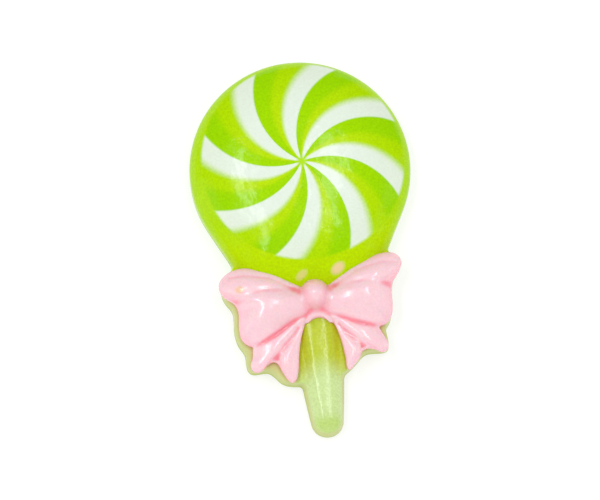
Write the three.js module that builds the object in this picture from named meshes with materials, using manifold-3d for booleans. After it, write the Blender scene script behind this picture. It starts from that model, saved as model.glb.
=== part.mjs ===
// A flat-backed resin charm in the form of a swirl lollipop with a ribbon bow.
// Two castings: a green body (domed disc that runs out into a collar, plate behind the
// bow, half-round stick) and a pink bow that sits in it. It lies on its flat back, face up.
// Millimetres. +X right, +Y from the stick to the disc, +Z out of the face.
// The origin is at the middle of the back.
import * as THREE from "three";
import { mergeVertices } from "three/addons/utils/BufferGeometryUtils.js";
import Module from "manifold-3d";

const wasm = await Module();
wasm.setup();

// Driving dimensions. Places in the plane are measured from the middle of the disc.
const LENGTH = 37.7;
const DISC_DIAMETER = 22;
const DISC_TOP = 5.4;
const WALL_TOP = 2.0;
const DOME_POWER = 2.6;
const COLLAR_REACH = 2.3;
const COLLAR_FROM = THREE.MathUtils.degToRad(63);
const COLLAR_FULL = THREE.MathUtils.degToRad(28);
const COLLAR_POWER = 2.2;
const EDGE_ROUND = 0.3;
const PLATE_TOP = 2.7;
const PLATE_DRAFT = 0.2;
const STICK_FROM = -13.4;
const STICK_TOP = 3.3;
const STICK_HALF_WIDTH = 2.5;
const STICK_END_TOP = 3.0;
const STICK_END_HALF_WIDTH = 1.65;
const STICK_FLATNESS = 3.6;
const STICK_END_BLUNTNESS = 0.6;
const BOW_Y = -13.25;
const BOW_WALL = 0.7;
const KNOT_HALF = [1.5, 1.6];
const KNOT_TOP = 5.6;
const LOOP_TOP = 5.2;
const TAIL_TOP = 4.1;
const WEB_TOP = 3.8;
const CROWN_SHARE = 0.75;
const SIDE_POWER = 7;
const FIT_GAP = 0.06;

const DISC_RADIUS = DISC_DIAMETER / 2;
const STICK_END = DISC_RADIUS - LENGTH;
const DISC_Y = LENGTH / 2 - DISC_RADIUS;

// Outlines from the middle of the bow, each drawn through by a smooth curve. A loop runs out
// along its top edge to the horn and back under it, a tail ends in two points, and the web
// joins the tails under the knot. The bow is uneven, so each side has its own.
const KNOT_CENTRE = [0.0, 0.3];
const WEB_CENTRE = [0.0, -1.4];
const WEB = [
  [-1.3, -0.8], [-1.05, -2.4], [-0.5, -2.1], [0.1, -1.95], [0.75, -2.15], [1.3, -2.6], [1.4, -0.8],
];
const RIGHT_LOOP_CENTRE = [4.8, 0.1];
const RIGHT_LOOP = [
  [0.3, 0.3], [1.6, 1.3], [2.7, 2.05], [3.75, 2.7], [5.7, 3.5], [7.0, 3.8], [8.0, 3.75], [8.6, 3.35],
  [8.85, 2.7], [8.3, 1.55], [7.8, 0.9], [7.55, 0.0], [7.5, -1.4], [7.3, -2.4], [6.8, -3.1], [6.0, -3.4],
  [4.2, -3.2], [2.35, -2.4], [0.3, -1.2],
];
const LEFT_LOOP_CENTRE = [-4.6, -0.3];
const LEFT_LOOP = [
  [-0.3, 0.4], [-1.2, 1.2], [-2.3, 1.95], [-3.6, 2.8], [-5.2, 3.4], [-7.0, 3.65], [-8.3, 3.3], [-9.15, 2.5],
  [-9.25, 1.75], [-8.85, 1.0], [-7.9, 0.15], [-7.6, -0.7], [-7.7, -2.0], [-7.6, -3.25], [-7.05, -3.95],
  [-6.3, -4.2], [-4.5, -3.65], [-2.6, -2.4], [-0.3, -1.1],
];
const RIGHT_TAIL_CENTRE = [3.9, -4.2];
const RIGHT_TAIL = [
  [0.7, -1.2], [1.15, -2.05], [1.65, -2.85], [2.05, -4.25], [2.3, -6.0], [2.4, -7.25], [2.7, -7.3],
  [3.2, -6.85], [3.7, -6.3], [4.05, -5.65], [4.55, -5.45], [5.3, -5.6], [6.0, -5.95], [6.45, -5.8],
  [6.65, -5.25], [6.4, -4.55], [6.1, -3.95], [5.5, -2.8], [2.7, -1.7],
];
const LEFT_TAIL_CENTRE = [-4.0, -4.5];
const LEFT_TAIL = [
  [-0.8, -1.2], [-2.7, -2.0], [-5.5, -3.2], [-6.45, -4.0], [-6.7, -5.3], [-6.95, -5.9], [-6.85, -6.45],
  [-6.4, -6.7], [-5.85, -6.55], [-5.3, -6.1], [-4.7, -5.85], [-4.3, -6.1], [-3.95, -6.9], [-3.5, -7.7],
  [-3.1, -8.05], [-2.65, -7.8], [-2.35, -6.85], [-2.1, -5.2], [-1.7, -3.6], [-1.15, -2.2],
];

// The plate from the middle of the bow: up the left side, across inside the disc, down the right
const PLATE_OUTLINE = [
  [-2.0, -8.2], [-3.2, -8.1], [-4.0, -7.8], [-4.7, -7.05], [-5.2, -6.6], [-7.0, -6.5], [-7.35, -5.9],
  [-7.4, -4.6], [-7.95, -3.6], [-8.2, -2.5], [-8.2, -0.2], [-8.75, 0.65], [-9.1, 1.6], [-8.8, 2.7],
  [-7.4, 4.5], [-5.5, 6.5], [5.5, 6.5], [7.6, 4.5], [8.6, 3.1], [8.5, 2.1], [8.0, 1.25], [7.8, 0.2],
  [7.7, -1.0], [7.55, -1.9], [7.2, -2.85], [6.75, -3.5], [6.85, -4.4], [6.85, -5.2], [6.6, -5.65],
  [4.6, -5.7], [4.05, -6.0], [3.45, -6.6], [2.65, -7.25], [1.8, -7.7],
];

const GREEN = new THREE.MeshStandardMaterial({ color: 0xa6d916, roughness: 0.25, metalness: 0 });
const PINK = new THREE.MeshStandardMaterial({ color: 0xffc4d2, roughness: 0.35, metalness: 0 });

// Solids from closed meshes, and meshes from solids
function solidOf(geometry) {
  const bare = geometry.clone();
  bare.deleteAttribute("normal");
  bare.deleteAttribute("uv");
  const merged = mergeVertices(bare, 1e-4);
  return new wasm.Manifold(
    new wasm.Mesh({
      numProp: 3,
      vertProperties: merged.attributes.position.array,
      triVerts: new Uint32Array(merged.index.array),
    }),
  );
}

function meshOf(solid, name, material) {
  const { numProp, vertProperties, triVerts } = solid.getMesh();
  const position = new Float32Array((vertProperties.length / numProp) * 3);
  for (let i = 0; i < position.length / 3; i++) {
    position.set(vertProperties.subarray(i * numProp, i * numProp + 3), i * 3);
  }
  const geometry = new THREE.BufferGeometry();
  geometry.setAttribute("position", new THREE.BufferAttribute(position, 3));
  geometry.setIndex(new THREE.BufferAttribute(triVerts, 1));
  const mesh = new THREE.Mesh(geometry.toNonIndexed(), material);
  mesh.geometry.computeVertexNormals();
  mesh.name = name;
  return mesh;
}

const joined = (solids) => solids.reduce((whole, next) => whole.add(next));

// A closed loft: rings of equal point counts from the bottom up, the last one flat or a point
function loft(rings) {
  const count = rings[0].length;
  const faces = [];
  for (let level = 0; level + 1 < rings.length; level++) {
    for (let i = 0; i < count; i++) {
      const next = (i + 1) % count;
      const [a, b] = [level * count + i, level * count + next];
      faces.push(a, b, b + count, a, b + count, a + count);
    }
  }
  const flat = (ring) => ring.map(([x, y]) => new THREE.Vector2(x, y));
  for (const [a, b, c] of THREE.ShapeUtils.triangulateShape(flat(rings[0]), [])) {
    faces.push(a, c, b);
  }
  const top = flat(rings.at(-1));
  const offset = (rings.length - 1) * count;
  const pointed = top[0].distanceTo(top[Math.floor(count / 2)]) < 1e-6;
  if (!pointed) {
    for (const [a, b, c] of THREE.ShapeUtils.triangulateShape(top, [])) {
      faces.push(a + offset, b + offset, c + offset);
    }
  }
  const geometry = new THREE.BufferGeometry();
  geometry.setAttribute("position", new THREE.Float32BufferAttribute(rings.flat(2), 3));
  geometry.setIndex(faces);
  return geometry;
}

// A smooth closed outline through a few points, counter-clockwise
function smooth(points, count) {
  const curve = new THREE.CatmullRomCurve3(
    points.map(([x, y]) => new THREE.Vector3(x, y, 0)),
    true,
    "centripetal",
  );
  const outline = curve.getSpacedPoints(count).slice(0, count);
  const flat = outline.map(({ x, y }) => new THREE.Vector2(x, y));
  return THREE.ShapeUtils.isClockWise(flat) ? flat.reverse() : flat;
}

// Moves an outline outwards along its own normals
function grown(outline, distance) {
  const count = outline.length;
  return outline.map((point, i) => {
    const along = outline[(i + 1) % count].clone().sub(outline[(i + count - 1) % count]);
    return new THREE.Vector2(along.y, -along.x).normalize().multiplyScalar(distance).add(point);
  });
}

const atHeight = (outline, z) => outline.map(({ x, y }) => [x, y, z]);

// A loft whose levels are heights with the distance by which the outline is grown there
const stacked = (outline, levels) =>
  solidOf(loft(levels.map(([z, distance]) => atHeight(grown(outline, distance), z))));

// From the middle of the bow to that of the disc
const fromBow = ([x, y]) => [x, BOW_Y + y];

// A puffed form over an outline: a wall, steep rounded sides, then a low crown over its centre
const PILLOW_RINGS = [1, 0.985, 0.95, 0.89, 0.8, 0.66, 0.5, 0.32, 0.15, 0];

function pillow({ outline, centre, top }) {
  const rise = top - PLATE_TOP - BOW_WALL;
  const rings = PILLOW_RINGS.map((share) => {
    const side = (1 - CROWN_SHARE) * Math.sqrt(1 - share ** SIDE_POWER);
    const crown = CROWN_SHARE * (1 - share ** 2);
    return outline.map(({ x, y }) => [
      centre[0] + (x - centre[0]) * share,
      centre[1] + (y - centre[1]) * share,
      PLATE_TOP + BOW_WALL + rise * (side + crown),
    ]);
  });
  return solidOf(loft([atHeight(outline, PLATE_TOP), ...rings]));
}

function knotOutline() {
  const corners = 12;
  return Array.from({ length: corners }, (_, i) => {
    const angle = (2 * Math.PI * i) / corners;
    return [
      KNOT_CENTRE[0] + KNOT_HALF[0] * Math.cos(angle),
      KNOT_CENTRE[1] + KNOT_HALF[1] * Math.sin(angle),
    ];
  });
}

const bowForms = [
  [knotOutline(), KNOT_CENTRE, KNOT_TOP, 36],
  [WEB, WEB_CENTRE, WEB_TOP, 30],
  [RIGHT_LOOP, RIGHT_LOOP_CENTRE, LOOP_TOP, 64],
  [LEFT_LOOP, LEFT_LOOP_CENTRE, LOOP_TOP, 64],
  [RIGHT_TAIL, RIGHT_TAIL_CENTRE, TAIL_TOP, 56],
  [LEFT_TAIL, LEFT_TAIL_CENTRE, TAIL_TOP, 56],
].map(([points, centre, top, count]) => ({
  outline: smooth(points.map(fromBow), count),
  centre: fromBow(centre),
  top,
}));

const bowSolid = () => joined(bowForms.map(pillow));

// The seat of the bow: its forms as tall plugs, a fit gap wider, down to the plate
function bowSeat() {
  const levels = [[PLATE_TOP, FIT_GAP], [DISC_TOP + 1, FIT_GAP]];
  return joined(bowForms.map(({ outline }) => stacked(outline, levels)));
}

// The disc's radius in a direction from its middle: round, but it reaches out under the bow
function discRadius(angle) {
  const fromBowward = Math.acos(-Math.sin(angle));
  const share = THREE.MathUtils.clamp((COLLAR_FROM - fromBowward) / (COLLAR_FROM - COLLAR_FULL), 0, 1);
  return DISC_RADIUS + COLLAR_REACH * share ** COLLAR_POWER;
}

// The disc and its collar: a rounded back edge, a short wall and a pebble-shaped dome
function disc() {
  const levels = [];
  const edgeSteps = 3;
  for (let i = 0; i <= edgeSteps; i++) {
    const angle = (Math.PI / 2) * (i / edgeSteps);
    const inset = EDGE_ROUND * (1 - Math.sin(angle));
    levels.push([EDGE_ROUND * (1 - Math.cos(angle)), 1 - inset / DISC_RADIUS]);
  }
  const domeSteps = 15;
  for (let i = 0; i < domeSteps; i++) {
    const angle = (Math.PI / 2) * (i / domeSteps);
    levels.push([WALL_TOP + (DISC_TOP - WALL_TOP) * Math.sin(angle), Math.cos(angle) ** (2 / DOME_POWER)]);
  }
  levels.push([DISC_TOP, 0]);
  const around = 104;
  const rings = levels.map(([z, share]) =>
    Array.from({ length: around }, (_, i) => {
      const angle = (2 * Math.PI * i) / around;
      const radius = share * discRadius(angle);
      return [radius * Math.cos(angle), radius * Math.sin(angle), z];
    }),
  );
  return solidOf(loft(rings));
}

// The plate behind the bow, a little narrower at the top
function plate() {
  const outline = smooth(PLATE_OUTLINE.map(fromBow), 130);
  const back = [[0, -EDGE_ROUND / 2], [EDGE_ROUND, 0]];
  return stacked(outline, [...back, [WALL_TOP, -PLATE_DRAFT / 2], [PLATE_TOP, -PLATE_DRAFT]]);
}

// The stick: half-round across, tapered, its end rounded in plan and in height
function stick() {
  const { lerp } = THREE.MathUtils;
  const straight = STICK_FROM - STICK_END - STICK_END_HALF_WIDTH;
  const sections = [];
  const straightSteps = 8;
  for (let i = 0; i <= straightSteps; i++) {
    const share = i / straightSteps;
    sections.push({
      along: straight * share,
      halfWidth: lerp(STICK_HALF_WIDTH, STICK_END_HALF_WIDTH, share ** 2),
      height: lerp(STICK_TOP, STICK_END_TOP, share),
    });
  }
  const endSteps = 9;
  const lastAngle = THREE.MathUtils.degToRad(86);
  for (let i = 1; i <= endSteps; i++) {
    const angle = lastAngle * (i / endSteps);
    sections.push({
      along: straight + (STICK_END_HALF_WIDTH * Math.sin(angle)) / Math.sin(lastAngle),
      halfWidth: STICK_END_HALF_WIDTH * Math.cos(angle),
      height: STICK_END_TOP * Math.cos(angle) ** STICK_END_BLUNTNESS,
    });
  }
  const acrossSteps = 18;
  const rings = sections.map(({ along, halfWidth, height }) =>
    Array.from({ length: acrossSteps + 1 }, (_, i) => {
      const across = Math.cos(Math.PI * (i / acrossSteps));
      return [halfWidth * across, height * Math.sqrt(1 - Math.abs(across) ** STICK_FLATNESS), along];
    }),
  );
  return solidOf(loft(rings).rotateX(Math.PI / 2).translate(0, STICK_FROM, 0));
}

const bodySolid = () => joined([disc(), plate(), stick()]).subtract(bowSeat());

const charm = new THREE.Group();
charm.add(meshOf(bodySolid(), "body", GREEN));
charm.add(meshOf(bowSolid(), "bow", PINK));
charm.position.y = DISC_Y;

const lollipop = new THREE.Group();
lollipop.add(charm);
export default lollipop;
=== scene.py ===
"""A resin charm in the form of a swirl lollipop with a ribbon bow, lying face up.

Lengths are in millimetres while a form is worked out, and become metres when
its mesh is stored. The origin is the middle of the flat back, +Y runs from the
stick to the disc and +Z comes out of the face.
"""

import math

import bpy
import numpy as np
from mathutils import Matrix, Vector


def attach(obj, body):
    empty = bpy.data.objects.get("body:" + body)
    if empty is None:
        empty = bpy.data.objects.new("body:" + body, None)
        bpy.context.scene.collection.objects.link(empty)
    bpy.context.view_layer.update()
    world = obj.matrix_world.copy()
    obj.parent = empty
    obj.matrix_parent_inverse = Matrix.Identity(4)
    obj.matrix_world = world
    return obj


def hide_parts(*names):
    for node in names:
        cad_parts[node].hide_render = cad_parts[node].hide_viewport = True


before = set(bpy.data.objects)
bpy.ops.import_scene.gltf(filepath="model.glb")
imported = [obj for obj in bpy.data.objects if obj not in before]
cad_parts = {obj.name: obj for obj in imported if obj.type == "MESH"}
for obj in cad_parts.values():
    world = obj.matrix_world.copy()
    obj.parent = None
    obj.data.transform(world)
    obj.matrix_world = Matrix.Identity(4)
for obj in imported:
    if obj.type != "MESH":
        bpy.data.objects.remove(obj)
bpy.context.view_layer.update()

MM = 0.001

# Sizes of the charm, as in the solids
LENGTH = 37.7
DISC_RADIUS = 11.0
DISC_TOP = 5.4
WALL_TOP = 2.0
DOME_POWER = 2.6
COLLAR_REACH = 2.3
COLLAR_FROM = math.radians(63)
COLLAR_FULL = math.radians(28)
COLLAR_POWER = 2.2
EDGE_ROUND = 0.3
PLATE_TOP = 2.7
PLATE_DRAFT = 0.2
STICK_TOP = 3.3
STICK_HALF_WIDTH = 2.5
STICK_END_TOP = 3.0
STICK_END_HALF_WIDTH = 1.65
STICK_FLATNESS = 3.6
STICK_END_BLUNTNESS = 0.6
BOW_WALL = 0.7
KNOT_HALF = (1.5, 1.6)
KNOT_TOP = 5.6
LOOP_TOP = 5.2
TAIL_TOP = 4.1
WEB_TOP = 3.8
CROWN_SHARE = 0.75
SIDE_POWER = 7

DISC_Y = LENGTH / 2 - DISC_RADIUS
DISC_AT = Vector((0.0, DISC_Y))
BOW_Y = DISC_Y - 13.25
STICK_FROM = DISC_Y - 13.4
STICK_END = -LENGTH / 2

# Outlines from the middle of the bow. The bow is uneven, so each side has its own.
KNOT_CENTRE = (0.0, 0.3)
WEB_CENTRE = (0.0, -1.4)
WEB = [
    (-1.3, -0.8), (-1.05, -2.4), (-0.5, -2.1), (0.1, -1.95), (0.75, -2.15), (1.3, -2.6), (1.4, -0.8),
]
RIGHT_LOOP_CENTRE = (4.8, 0.1)
RIGHT_LOOP = [
    (0.3, 0.3), (1.6, 1.3), (2.7, 2.05), (3.75, 2.7), (5.7, 3.5), (7.0, 3.8), (8.0, 3.75),
    (8.6, 3.35), (8.85, 2.7), (8.3, 1.55), (7.8, 0.9), (7.55, 0.0), (7.5, -1.4), (7.3, -2.4),
    (6.8, -3.1), (6.0, -3.4), (4.2, -3.2), (2.35, -2.4), (0.3, -1.2),
]
LEFT_LOOP_CENTRE = (-4.6, -0.3)
LEFT_LOOP = [
    (-0.3, 0.4), (-1.2, 1.2), (-2.3, 1.95), (-3.6, 2.8), (-5.2, 3.4), (-7.0, 3.65), (-8.3, 3.3),
    (-9.15, 2.5), (-9.25, 1.75), (-8.85, 1.0), (-7.9, 0.15), (-7.6, -0.7), (-7.7, -2.0), (-7.6, -3.25),
    (-7.05, -3.95), (-6.3, -4.2), (-4.5, -3.65), (-2.6, -2.4), (-0.3, -1.1),
]
RIGHT_TAIL_CENTRE = (3.9, -4.2)
RIGHT_TAIL = [
    (0.7, -1.2), (1.15, -2.05), (1.65, -2.85), (2.05, -4.25), (2.3, -6.0), (2.4, -7.25), (2.7, -7.3),
    (3.2, -6.85), (3.7, -6.3), (4.05, -5.65), (4.55, -5.45), (5.3, -5.6), (6.0, -5.95), (6.45, -5.8),
    (6.65, -5.25), (6.4, -4.55), (6.1, -3.95), (5.5, -2.8), (2.7, -1.7),
]
LEFT_TAIL_CENTRE = (-4.0, -4.5)
LEFT_TAIL = [
    (-0.8, -1.2), (-2.7, -2.0), (-5.5, -3.2), (-6.45, -4.0), (-6.7, -5.3), (-6.95, -5.9), (-6.85, -6.45),
    (-6.4, -6.7), (-5.85, -6.55), (-5.3, -6.1), (-4.7, -5.85), (-4.3, -6.1), (-3.95, -6.9), (-3.5, -7.7),
    (-3.1, -8.05), (-2.65, -7.8), (-2.35, -6.85), (-2.1, -5.2), (-1.7, -3.6), (-1.15, -2.2),
]
PLATE_OUTLINE = [
    (-2.0, -8.2), (-3.2, -8.1), (-4.0, -7.8), (-4.7, -7.05), (-5.2, -6.6), (-7.0, -6.5), (-7.35, -5.9),
    (-7.4, -4.6), (-7.95, -3.6), (-8.2, -2.5), (-8.2, -0.2), (-8.75, 0.65), (-9.1, 1.6), (-8.8, 2.7),
    (-7.4, 4.5), (-5.5, 6.5), (5.5, 6.5), (7.6, 4.5), (8.6, 3.1), (8.5, 2.1), (8.0, 1.25), (7.8, 0.2),
    (7.7, -1.0), (7.55, -1.9), (7.2, -2.85), (6.75, -3.5), (6.85, -4.4), (6.85, -5.2), (6.6, -5.65),
    (4.6, -5.7), (4.05, -6.0), (3.45, -6.6), (2.65, -7.25), (1.8, -7.7),
]

# Folds pressed into the bow on both sides: a line on the right, its width and its depth
FOLDS = [
    ([(2.0, 1.0), (4.2, 2.2), (6.8, 2.75), (8.2, 2.7)], 0.28, 0.13),
    ([(1.6, 0.7), (3.2, 0.95), (5.0, 1.0), (6.6, 0.8), (7.9, 0.3)], 0.5, 0.18),
    ([(2.0, -2.9), (3.3, -4.3), (4.5, -5.8)], 0.5, 0.25),
]

# How far from the knot's middle its crease is softened, and its cap is raised again
KNOT_CREASE_REACH = 2.4
KNOT_CAP_REACH = 1.2

# The view: how far the camera leans from straight above, which way, and how far the charm is
# turned in the picture
CAMERA_DISTANCE = 250.0
CAMERA_TILT = math.radians(11.3)
CAMERA_LEAN = math.radians(7.9)
PICTURE_TURN = math.radians(6.2)
CAMERA_TARGET = Vector((-0.79, 0.17, 0.0))
VIEW_WIDTH = 59.7
SENSOR_WIDTH = 36.0


# Outlines

def smooth_outline(points, count):
    """A closed curve through the points, sampled evenly."""
    points = np.array(points)
    steps = np.linspace(0, 1, 40, endpoint=False)[:, None]
    pieces = []
    for i in range(len(points)):
        p0, p1, p2, p3 = (points[(i + k) % len(points)] for k in (-1, 0, 1, 2))
        t1 = math.sqrt(math.dist(p0, p1))
        t2 = t1 + math.sqrt(math.dist(p1, p2))
        t3 = t2 + math.sqrt(math.dist(p2, p3))
        t = t1 + steps * (t2 - t1)
        a1 = (t1 - t) / t1 * p0 + t / t1 * p1
        a2 = (t2 - t) / (t2 - t1) * p1 + (t - t1) / (t2 - t1) * p2
        a3 = (t3 - t) / (t3 - t2) * p2 + (t - t2) / (t3 - t2) * p3
        b1 = (t2 - t) / t2 * a1 + t / t2 * a2
        b2 = (t3 - t) / (t3 - t1) * a2 + (t - t1) / (t3 - t1) * a3
        pieces.append((t2 - t) / (t2 - t1) * b1 + (t - t1) / (t2 - t1) * b2)
    curve = np.vstack(pieces)
    closed = np.vstack([curve, curve[:1]])
    along = np.concatenate([[0], np.cumsum(np.hypot(*np.diff(closed, axis=0).T))])
    wanted = np.linspace(0, along[-1], count, endpoint=False)
    outline = np.column_stack([np.interp(wanted, along, closed[:, k]) for k in (0, 1)])
    x, y = outline.T
    area = np.sum(x * np.roll(y, -1) - y * np.roll(x, -1))
    return outline if area > 0 else outline[::-1]


def grown(outline, distance):
    """The outline moved outwards along its own normals."""
    along = np.roll(outline, -1, axis=0) - np.roll(outline, 1, axis=0)
    normal = np.column_stack([along[:, 1], -along[:, 0]])
    return outline + distance * normal / np.linalg.norm(normal, axis=1)[:, None]


def on_charm(points, middle_y):
    """Points measured from a middle on the charm's axis, in the charm's own plane."""
    return np.array(points, dtype=float) + (0.0, middle_y)


def mirrored(points):
    return [(-x, y) for x, y in points]


# Meshes

def lofted(rings):
    """Vertices and faces of a closed loft through rings of equal point counts."""
    count = len(rings[0])
    vertices = np.vstack(rings)
    faces = []
    for level in range(len(rings) - 1):
        for i in range(count):
            a = level * count + i
            b = level * count + (i + 1) % count
            faces.append((a, b, b + count, a + count))
    faces.append(tuple(range(count))[::-1])
    faces.append(tuple(range(len(vertices) - count, len(vertices))))
    return vertices, faces


def at_height(outline, z):
    return np.column_stack([outline, np.full(len(outline), z)])


def joined_object(name, forms):
    """One object that holds several closed forms."""
    vertices, faces = [], []
    for form_vertices, form_faces in forms:
        start = len(vertices)
        vertices.extend(form_vertices.tolist())
        faces.extend(tuple(start + i for i in face) for face in form_faces)
    mesh = bpy.data.meshes.new(name)
    mesh.from_pydata(vertices, [], faces)
    thing = bpy.data.objects.new(name, mesh)
    bpy.context.scene.collection.objects.link(thing)
    return thing


def modified(thing):
    """Applies the modifiers of an object to its mesh."""
    graph = bpy.context.evaluated_depsgraph_get()
    old = thing.data
    thing.data = bpy.data.meshes.new_from_object(thing.evaluated_get(graph))
    thing.modifiers.clear()
    bpy.data.meshes.remove(old)


def fused(thing, voxel, smoothing):
    """Fuses overlapping forms into one skin and softens the creases between them."""
    remesh = thing.modifiers.new("fuse", "REMESH")
    remesh.mode = "VOXEL"
    remesh.voxel_size = voxel
    soften = thing.modifiers.new("soften", "SMOOTH")
    soften.factor = 0.5
    soften.iterations = smoothing
    modified(thing)


def points_of(thing):
    points = np.empty(len(thing.data.vertices) * 3)
    thing.data.vertices.foreach_get("co", points)
    return points.reshape(-1, 3)


def finished(thing, points):
    """Stores the points in metres and shades the surface smooth."""
    thing.data.vertices.foreach_set("co", (points * MM).ravel())
    thing.data.polygons.foreach_set("use_smooth", [True] * len(thing.data.polygons))
    thing.data.update()


# The bow

def pillow(outline, centre, top, levels=26):
    """A puffed form: a wall, steep rounded sides, then a low crown over its centre."""
    rise = top - PLATE_TOP - BOW_WALL
    rings = [at_height(outline, PLATE_TOP)]
    for share in np.cos(np.linspace(0, math.pi / 2, levels)) ** 0.7:
        side = math.sqrt(max(0.0, 1 - share**SIDE_POWER))
        height = rise * ((1 - CROWN_SHARE) * side + CROWN_SHARE * (1 - share**2))
        ring = centre + (outline - centre) * max(share, 0.004)
        rings.append(at_height(ring, PLATE_TOP + BOW_WALL + height))
    return lofted(rings)


def bow_forms():
    """Outline, centre and top of the knot, the web under it, the loops and the tails."""
    angles = np.linspace(0, 2 * math.pi, 12, endpoint=False)
    knot = np.column_stack([np.cos(angles), np.sin(angles)]) * KNOT_HALF + KNOT_CENTRE
    forms = (
        (knot, KNOT_CENTRE, KNOT_TOP),
        (WEB, WEB_CENTRE, WEB_TOP),
        (RIGHT_LOOP, RIGHT_LOOP_CENTRE, LOOP_TOP),
        (LEFT_LOOP, LEFT_LOOP_CENTRE, LOOP_TOP),
        (RIGHT_TAIL, RIGHT_TAIL_CENTRE, TAIL_TOP),
        (LEFT_TAIL, LEFT_TAIL_CENTRE, TAIL_TOP),
    )
    return [(smooth_outline(on_charm(points, BOW_Y), 240), on_charm(centre, BOW_Y), top)
            for points, centre, top in forms]


def distance_to_line(points, line):
    """Distance in the plane from each point to a line of straight stretches."""
    nearest = np.full(len(points), np.inf)
    for start, end in zip(line, line[1:]):
        stretch = end - start
        share = np.clip((points - start) @ stretch / (stretch @ stretch), 0, 1)
        nearest = np.minimum(nearest, np.hypot(*(points - start - share[:, None] * stretch).T))
    return nearest


def above_wall(points, over):
    """0 on the bow's wall and below it, rising to 1 over a height above it."""
    return np.clip((points[:, 2] - PLATE_TOP - BOW_WALL) / over, 0, 1)


def pressed(points):
    """The bow's top with its folds pressed in."""
    upper = above_wall(points, over=0.4)
    for line, width, depth in FOLDS:
        for half in (line, mirrored(line)):
            distance = distance_to_line(points[:, :2], on_charm(half, BOW_Y))
            points[:, 2] -= upper * depth * np.exp(-(distance / width) ** 2)
    return points


def levelled(thing, points, steps):
    """The heights once each point has taken the mean of its neighbours some times over."""
    ends = np.empty(len(thing.data.edges) * 2, dtype=np.int64)
    thing.data.edges.foreach_get("vertices", ends)
    first, second = ends.reshape(-1, 2).T
    neighbours = np.bincount(ends, minlength=len(points))
    height = points[:, 2]
    for _ in range(steps):
        total = np.bincount(first, height[second], len(points))
        total += np.bincount(second, height[first], len(points))
        height = total / neighbours
    return height


def softened_knot(thing, points):
    """The crease round the knot filled in softly, and the knot as high as before."""
    upper = above_wall(points, over=0.6)
    from_knot = np.hypot(*(points[:, :2] - on_charm(KNOT_CENTRE, BOW_Y)).T)
    share = upper * np.exp(-(from_knot / KNOT_CREASE_REACH) ** 4)
    points[:, 2] += share * (levelled(thing, points, steps=75) - points[:, 2])
    lost = KNOT_TOP - points[from_knot < 0.5, 2].max()
    points[:, 2] += upper * lost * np.exp(-(from_knot / KNOT_CAP_REACH) ** 2)
    return points


def make_bow():
    bow = joined_object("ribbon_bow", [pillow(*form) for form in bow_forms()])
    fused(bow, voxel=0.09, smoothing=6)
    points = pressed(softened_knot(bow, points_of(bow)))
    # how far each point lies below its neighbours, from which the pink material paints shade into the
    # creases
    hollow_shade = bow.data.attributes.new("hollow_shade", "FLOAT", "POINT")
    below = levelled(bow, points, steps=90) - points[:, 2]
    hollow_shade.data.foreach_set("value", below.astype(np.float32))
    finished(bow, points)
    return bow


# The green casting

def disc_radius(angle):
    """The disc's radius in a direction: round, but it reaches out under the bow."""
    from_bowward = math.acos(-math.sin(angle))
    share = min(max((COLLAR_FROM - from_bowward) / (COLLAR_FROM - COLLAR_FULL), 0.0), 1.0)
    return DISC_RADIUS + COLLAR_REACH * share**COLLAR_POWER


def disc():
    """The disc and its collar: a rounded back edge, a short wall and a pebble-shaped dome."""
    levels = [(EDGE_ROUND * (1 - math.cos(a)), 1 - EDGE_ROUND * (1 - math.sin(a)) / DISC_RADIUS)
              for a in np.linspace(0, math.pi / 2, 6)]
    for angle in np.linspace(0, math.pi / 2 * 0.995, 60):
        z = WALL_TOP + (DISC_TOP - WALL_TOP) * math.sin(angle)
        levels.append((z, math.cos(angle) ** (2 / DOME_POWER)))
    angles = np.linspace(0, 2 * math.pi, 360, endpoint=False)
    outline = np.array([(disc_radius(a) * math.cos(a), disc_radius(a) * math.sin(a)) for a in angles])
    return lofted([at_height(outline * share + DISC_AT, z) for z, share in levels])


def plate():
    """The plate behind the bow, a little narrower at the top."""
    outline = smooth_outline(on_charm(PLATE_OUTLINE, BOW_Y), 600)
    back = [(0, -EDGE_ROUND / 2), (EDGE_ROUND, 0)]
    levels = [*back, (WALL_TOP, -PLATE_DRAFT / 2), (PLATE_TOP, -PLATE_DRAFT)]
    return lofted([at_height(grown(outline, distance), z) for z, distance in levels])


def stick():
    """Half-round across, tapered, its end rounded in plan and in height."""
    straight_end = STICK_END + STICK_END_HALF_WIDTH
    sections = []
    for share in np.linspace(0, 1, 60):
        half_width = STICK_HALF_WIDTH + (STICK_END_HALF_WIDTH - STICK_HALF_WIDTH) * share**2
        y = STICK_FROM + (straight_end - STICK_FROM) * share
        sections.append((y, half_width, STICK_TOP + (STICK_END_TOP - STICK_TOP) * share))
    for angle in np.linspace(0.03, math.pi / 2 * 0.98, 24):
        y = straight_end - STICK_END_HALF_WIDTH * math.sin(angle)
        height = STICK_END_TOP * math.cos(angle) ** STICK_END_BLUNTNESS
        sections.append((y, STICK_END_HALF_WIDTH * math.cos(angle), height))
    across = np.cos(np.linspace(0, math.pi, 61))
    profile = np.sqrt(1 - np.abs(across) ** STICK_FLATNESS)
    rings = [np.column_stack([half_width * across, np.full(len(across), y), height * profile])
             for y, half_width, height in sections]
    return lofted(rings)


def make_casting():
    casting = joined_object("green_casting", [disc(), plate(), stick()])
    fused(casting, voxel=0.13, smoothing=30)
    finished(casting, points_of(casting))
    return casting


# Materials

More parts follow.
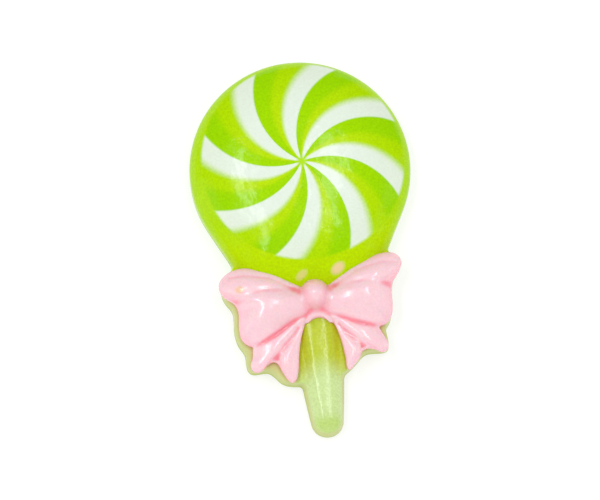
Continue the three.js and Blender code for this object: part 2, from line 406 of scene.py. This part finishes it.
class Graph:
    """Short names for the nodes of one material."""

    def __init__(self, name):
        self.material = bpy.data.materials.new(name)
        self.material.use_nodes = True
        self.tree = self.material.node_tree
        self.shader = self.tree.nodes["Principled BSDF"]

    def node(self, kind, inputs=(), **settings):
        made = self.tree.nodes.new(kind)
        for key, value in settings.items():
            setattr(made, key, value)
        for key, value in dict(inputs).items():
            self.put(value, made.inputs[key])
        return made

    def put(self, value, socket):
        if isinstance(value, bpy.types.NodeSocket):
            self.tree.links.new(value, socket)
        else:
            socket.default_value = value

    def math(self, operation, *values):
        made = self.node("ShaderNodeMath", operation=operation)
        for value, socket in zip(values, made.inputs):
            self.put(value, socket)
        return made.outputs[0]

    def squares(self, first, second):
        """The sum of two squares."""
        return self.math("ADD", self.math("MULTIPLY", first, first), self.math("MULTIPLY", second, second))

    def smooth(self, value, low, high):
        """0 below low, 1 above high, smooth between."""
        made = self.node("ShaderNodeMapRange", interpolation_type="SMOOTHSTEP")
        self.put(value, made.inputs["Value"])
        made.inputs["From Min"].default_value = low
        made.inputs["From Max"].default_value = high
        return made.outputs["Result"]

    def between(self, share, first, last):
        """From first at 0 to last at 1."""
        made = self.node("ShaderNodeMapRange")
        self.put(share, made.inputs["Value"])
        made.inputs["To Min"].default_value = first
        made.inputs["To Max"].default_value = last
        return made.outputs["Result"]

    def blend(self, share, first, second):
        made = self.node("ShaderNodeMix", data_type="RGBA")
        self.put(share, made.inputs[0])
        self.put(first, made.inputs[6])
        self.put(second, made.inputs[7])
        return made.outputs[2]

    def position(self):
        """The place on the charm in millimetres."""
        scaled = self.node("ShaderNodeVectorMath", operation="SCALE")
        self.put(self.node("ShaderNodeTexCoord").outputs["Object"], scaled.inputs[0])
        scaled.inputs["Scale"].default_value = 1 / MM
        return scaled.outputs[0]

    def parts(self, vector):
        """x, y and z of a vector."""
        made = self.node("ShaderNodeSeparateXYZ")
        self.put(vector, made.inputs[0])
        return made.outputs[0], made.outputs[1], made.outputs[2]

    def noise(self, place, scale, detail=2.0):
        made = self.node("ShaderNodeTexNoise")
        self.put(place, made.inputs["Vector"])
        made.inputs["Scale"].default_value = scale
        made.inputs["Detail"].default_value = detail
        return made.outputs["Fac"]

    def bump(self, height, distance, strength):
        made = self.node("ShaderNodeBump")
        self.put(height, made.inputs["Height"])
        made.inputs["Distance"].default_value = distance
        made.inputs["Strength"].default_value = strength
        self.put(made.outputs[0], self.shader.inputs["Normal"])


def colour(red, green, blue):
    """A display colour of 0 to 255 as linear light."""
    def linear(value):
        share = value / 255
        return share / 12.92 if share <= 0.04045 else ((share + 0.055) / 1.055) ** 2.4
    return (linear(red), linear(green), linear(blue), 1.0)


# The swirl, as angles in degrees and lengths in millimetres
SWIRL_AT = (0.1, 7.95)
SWIRL_SECTOR = 45.0
SWIRL_START = 105.7
SWIRL_TWIST = 3.24
SWIRL_BEND = 0.0567
SOFT_EDGE_TWIST = 0.8
SWIRL_END_AT = (0.3, 8.35)
SWIRL_END_RADIUS = 10.05

# Flecks: place, half length, half width, angle of the long side and strength
PINK_FLECKS = [
    ((-1.1, -3.1), 0.75, 0.42, 35, 0.55),
    ((2.5, -2.8), 0.85, 0.55, 35, 0.9),
]
PEACH_SPOT = ((-7.3, -4.05), 0.5, 0.4, 0, 1.0)

# The grain in the resin: how many spots to a millimetre
GRAIN = 4.5


def offset_from(graph, x, y, point):
    return graph.math("SUBTRACT", x, point[0]), graph.math("SUBTRACT", y, point[1])


def distance_from(graph, x, y, point):
    return graph.math("SQRT", graph.squares(*offset_from(graph, x, y, point)))


def swirl(graph, place, x, y):
    """The painted swirl: in each sector a white stripe, then a light and a deep green one."""
    dx, dy = offset_from(graph, x, y, SWIRL_AT)
    radius = graph.math("SQRT", graph.squares(dx, dy))
    angle = graph.math("DEGREES", graph.math("ARCTAN2", dy, dx))
    bend = graph.math("MULTIPLY", graph.math("MULTIPLY", radius, radius), SWIRL_BEND)
    turn = graph.math("ADD", graph.math("MULTIPLY", radius, SWIRL_TWIST), bend)
    turned = graph.math("ADD", graph.math("SUBTRACT", angle, SWIRL_START), turn)
    phase = graph.math("FLOORED_MODULO", turned, SWIRL_SECTOR)
    # painted sheen: each colour of the swirl is painted a little paler towards the middle
    less_sheen_outward = graph.smooth(radius, 5.0, 9.5)
    deep = graph.blend(less_sheen_outward, colour(161, 218, 0), colour(153, 213, 0))
    light = graph.blend(less_sheen_outward, colour(184, 224, 8), colour(174, 219, 0))
    white = graph.blend(less_sheen_outward, colour(227, 239, 224), colour(224, 236, 217))
    white = mottled(graph, place, white, GRAIN, 0.03)
    green = graph.blend(graph.smooth(phase, 25.5, 33.0), light, deep)
    green = mottled(graph, place, green, GRAIN, 0.08)
    # a white stripe is sharp on one side and fades into the light green on the other
    faded = graph.math("ADD", phase, graph.math("MULTIPLY", radius, SOFT_EDGE_TWIST))
    past_white = graph.smooth(faded, 17.4, 25.6)
    before_white = graph.smooth(phase, 43.2, SWIRL_SECTOR)
    stripes = graph.blend(graph.math("SUBTRACT", past_white, before_white), white, green)
    return graph.blend(graph.smooth(radius, 0.2, 0.7), colour(176, 226, 30), stripes)


def fleck(graph, x, y, place, half_length, half_width, angle, strength):
    """A soft-edged oval mark of some strength in its middle."""
    dx, dy = offset_from(graph, x, y, place)
    cosine, sine = math.cos(math.radians(angle)), math.sin(math.radians(angle))
    along = graph.math("ADD", graph.math("MULTIPLY", dx, cosine), graph.math("MULTIPLY", dy, sine))
    across = graph.math("SUBTRACT", graph.math("MULTIPLY", dy, cosine), graph.math("MULTIPLY", dx, sine))
    along = graph.math("DIVIDE", along, half_length)
    across = graph.math("DIVIDE", across, half_width)
    inside = graph.math("SUBTRACT", 1.0, graph.smooth(graph.squares(along, across), 0.1, 1.3))
    return graph.math("MULTIPLY", inside, strength)


def stick_tone(graph, x, y):
    """Olive down to the bow's tails and further at the sides, then pale, and darker at the end."""
    down = graph.math("MULTIPLY", y, -1.0)
    lag = graph.math("MULTIPLY", graph.math("ABSOLUTE", x), 0.5)
    tone = graph.blend(graph.smooth(down, 7.2, 8.6), colour(178, 198, 0), colour(190, 207, 42))
    paler = graph.smooth(graph.math("SUBTRACT", down, lag), 10.2, 13.4)
    tone = graph.blend(paler, tone, colour(204, 227, 152))
    return graph.blend(graph.smooth(down, 16.4, 17.8), tone, colour(191, 219, 122))


def mottled(graph, place, tone, scale, strength):
    """The tone with fine uneven spots, lighter and darker at random."""
    spots = graph.noise(place, scale, 3.0)
    level = graph.node("ShaderNodeMapRange")
    graph.put(spots, level.inputs["Value"])
    level.inputs["From Min"].default_value = 0.3
    level.inputs["From Max"].default_value = 0.7
    level.inputs["To Min"].default_value = 1 - strength
    level.inputs["To Max"].default_value = 1 + strength
    scaled = graph.node("ShaderNodeVectorMath", operation="SCALE")
    graph.put(tone, scaled.inputs[0])
    graph.put(level.outputs["Result"], scaled.inputs["Scale"])
    return scaled.outputs[0]


def green_resin():
    graph = Graph("green_resin")
    place = graph.position()
    x, y, z = graph.parts(place)
    down = graph.math("MULTIPLY", y, -1.0)
    # the collar is one plain green, and the stick has its own tones
    toward_stick = graph.smooth(down, 6.4, 7.4)
    ground = graph.blend(toward_stick, colour(184, 222, 0), stick_tone(graph, x, y))
    # the disc's rim away from the bow is a cooler green than the collar
    above_bow = graph.smooth(y, -0.5, 3.0)
    ground = graph.blend(above_bow, ground, colour(174, 220, 14))
    end_radius = distance_from(graph, x, y, SWIRL_END_AT)
    off_swirl = graph.smooth(end_radius, SWIRL_END_RADIUS - 0.2, SWIRL_END_RADIUS + 0.15)
    ground = mottled(graph, place, ground, GRAIN, 0.08)
    face = graph.blend(off_swirl, swirl(graph, place, x, y), ground)
    for mark in PINK_FLECKS:
        face = graph.blend(fleck(graph, x, y, *mark), face, colour(238, 208, 160))
    # walls: pale green round the disc, olive cream round the plate, each painted darker towards the foot
    # as painted shade
    round_plate = graph.smooth(down, 2.0, 4.0)
    off_stick = graph.smooth(graph.math("ABSOLUTE", x), 2.4, 2.8)
    under = graph.math("MULTIPLY", z, -1.0)
    shade_toward_foot = graph.smooth(under, -1.9, -0.3)
    disc_wall = graph.blend(shade_toward_foot, colour(184, 222, 70), colour(160, 208, 24))
    plate_wall = graph.blend(shade_toward_foot, colour(206, 212, 142), colour(178, 194, 82))
    wall = graph.blend(round_plate, disc_wall, plate_wall)
    low = graph.smooth(under, -2.3, -1.8)
    plate_low = graph.math("MULTIPLY", graph.math("MULTIPLY", round_plate, off_stick),
                           graph.smooth(under, -3.0, -2.7))
    wall = mottled(graph, place, wall, 1.2, 0.03)
    on_wall = graph.math("MAXIMUM", low, plate_low)
    graph.put(graph.blend(on_wall, face, wall), graph.shader.inputs["Base Color"])
    # the stick is a little less smooth, its crest shines more than the rest, and walls hardly do
    aside = graph.smooth(graph.math("ABSOLUTE", x), 1.3, 1.8)
    on_crest = graph.math("MULTIPLY", toward_stick, graph.math("SUBTRACT", 1.0, aside))
    graph.put(graph.between(toward_stick, 0.15, 0.24), graph.shader.inputs["Roughness"])
    shine = graph.between(on_crest, 0.15, 0.5)
    matt = graph.between(on_wall, 1.0, 0.1)
    graph.put(graph.math("MULTIPLY", shine, matt), graph.shader.inputs["Specular IOR Level"])
    graph.bump(graph.noise(place, 0.7, 3.0), 0.0002, 0.4)
    return graph.material


def pink_resin():
    graph = Graph("pink_resin")
    place = graph.position()
    x, y, _ = graph.parts(place)
    tone = graph.blend(graph.noise(place, 0.8), colour(255, 209, 217), colour(255, 215, 222))
    # painted shade: the bow's steep sides are painted a deeper rose
    upright = graph.parts(graph.node("ShaderNodeNewGeometry").outputs["Normal"])[2]
    slope_shade = graph.math("SUBTRACT", 1.0, graph.smooth(upright, 0.35, 0.92))
    tone = graph.blend(slope_shade, tone, colour(255, 188, 200))
    # painted shade: the creases and hollows of the bow are painted a deep rose
    hollow_shade = graph.node("ShaderNodeAttribute", attribute_name="hollow_shade").outputs["Fac"]
    tone = graph.blend(graph.smooth(hollow_shade, -0.02, 0.11), tone, colour(255, 146, 160))
    # a drop of peach in the left loop
    tone = graph.blend(fleck(graph, x, y, *PEACH_SPOT), tone, colour(251, 205, 172))
    graph.put(mottled(graph, place, tone, GRAIN, 0.04), graph.shader.inputs["Base Color"])
    graph.shader.inputs["Roughness"].default_value = 0.22
    graph.shader.inputs["Specular IOR Level"].default_value = 0.75
    graph.shader.inputs["Subsurface Weight"].default_value = 0.3
    graph.shader.inputs["Subsurface Scale"].default_value = 0.0008
    graph.bump(graph.noise(place, 0.6, 2.0), 0.0002, 0.15)
    return graph.material


def floor_material():
    graph = Graph("pale_floor")
    tone = graph.blend(graph.noise(graph.position(), 0.01), (0.36, 0.36, 0.36, 1), (0.38, 0.38, 0.38, 1))
    graph.put(tone, graph.shader.inputs["Base Color"])
    graph.shader.inputs["Emission Color"].default_value = (1, 1, 1, 1)
    graph.shader.inputs["Emission Strength"].default_value = 0.68
    graph.shader.inputs["Roughness"].default_value = 0.9
    graph.shader.inputs["Specular IOR Level"].default_value = 0.0
    return graph.material


# The set: lights as place, width, length and radiance, the sky's brightness, half the floor's width
PANELS = {
    "left_strip": ((-104, 40, 300), 32, 170, 13.0),
    "right_strip": ((57, 50, 300), 24, 130, 14.0),
    "left_side": ((-420, 0, 130), 500, 180, 0.8),
    "right_side": ((420, 0, 130), 500, 180, 0.8),
    "foot_side": ((0, -420, 160), 500, 220, 0.9),
}
SKY = 0.63
FLOOR_HALF = 600


def make_floor():
    half = FLOOR_HALF * MM
    mesh = bpy.data.meshes.new("floor")
    corners = [(-half, -half, 0), (half, -half, 0), (half, half, 0), (-half, half, 0)]
    mesh.from_pydata(corners, [], [(0, 1, 2, 3)])
    floor = bpy.data.objects.new("floor", mesh)
    bpy.context.scene.collection.objects.link(floor)
    mesh.materials.append(floor_material())


def panel_light(name, place, width, length, radiance):
    """A flat light that faces the charm."""
    data = bpy.data.lights.new(name, "AREA")
    data.shape = "RECTANGLE"
    data.size = width * MM
    data.size_y = length * MM
    data.energy = radiance * math.pi * data.size * data.size_y
    light = bpy.data.objects.new(name, data)
    away = Vector(place).normalized()
    across = Vector((0, 1, 0)).cross(away).normalized()
    turn = Matrix((across, away.cross(across), away)).transposed()
    light.matrix_world = Matrix.Translation(Vector(place) * MM) @ turn.to_4x4()
    bpy.context.scene.collection.objects.link(light)


def make_lights():
    """Panels that show in the gloss, and an even sky that doesn't."""
    for name, panel in PANELS.items():
        panel_light(name, *panel)
    world = bpy.data.worlds.new("studio")
    bpy.context.scene.world = world
    world.use_nodes = True
    background = world.node_tree.nodes["Background"]
    background.inputs["Color"].default_value = (1, 1, 1, 1)
    background.inputs["Strength"].default_value = SKY
    world.cycles_visibility.glossy = False


def make_camera():
    """Leans from the vertical towards the stick's foot, and turns the charm in the picture."""
    right = Vector((math.cos(PICTURE_TURN), -math.sin(PICTURE_TURN), 0))
    up = Vector((math.sin(PICTURE_TURN), math.cos(PICTURE_TURN), 0))
    lean = math.sin(CAMERA_LEAN) * right + math.cos(CAMERA_LEAN) * up
    back = (Vector((0, 0, math.cos(CAMERA_TILT))) - math.sin(CAMERA_TILT) * lean).normalized()
    side = up.cross(back).normalized()
    top = back.cross(side)
    place = (CAMERA_TARGET + back * CAMERA_DISTANCE) * MM
    data = bpy.data.cameras.new("camera")
    data.sensor_width = SENSOR_WIDTH
    data.lens = SENSOR_WIDTH * CAMERA_DISTANCE / VIEW_WIDTH
    data.clip_start = 0.01
    camera = bpy.data.objects.new("camera", data)
    turn = Matrix((side, top, back)).transposed()
    camera.matrix_world = Matrix.Translation(place) @ turn.to_4x4()
    bpy.context.scene.collection.objects.link(camera)
    bpy.context.scene.camera = camera


make_camera()
make_floor()
make_lights()
bpy.context.scene.view_settings.view_transform = "Standard"

casting = make_casting()
casting.data.materials.append(green_resin())
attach(casting, "root")
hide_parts("body")

bow = make_bow()
bow.data.materials.append(pink_resin())
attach(bow, "root")
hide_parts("bow")
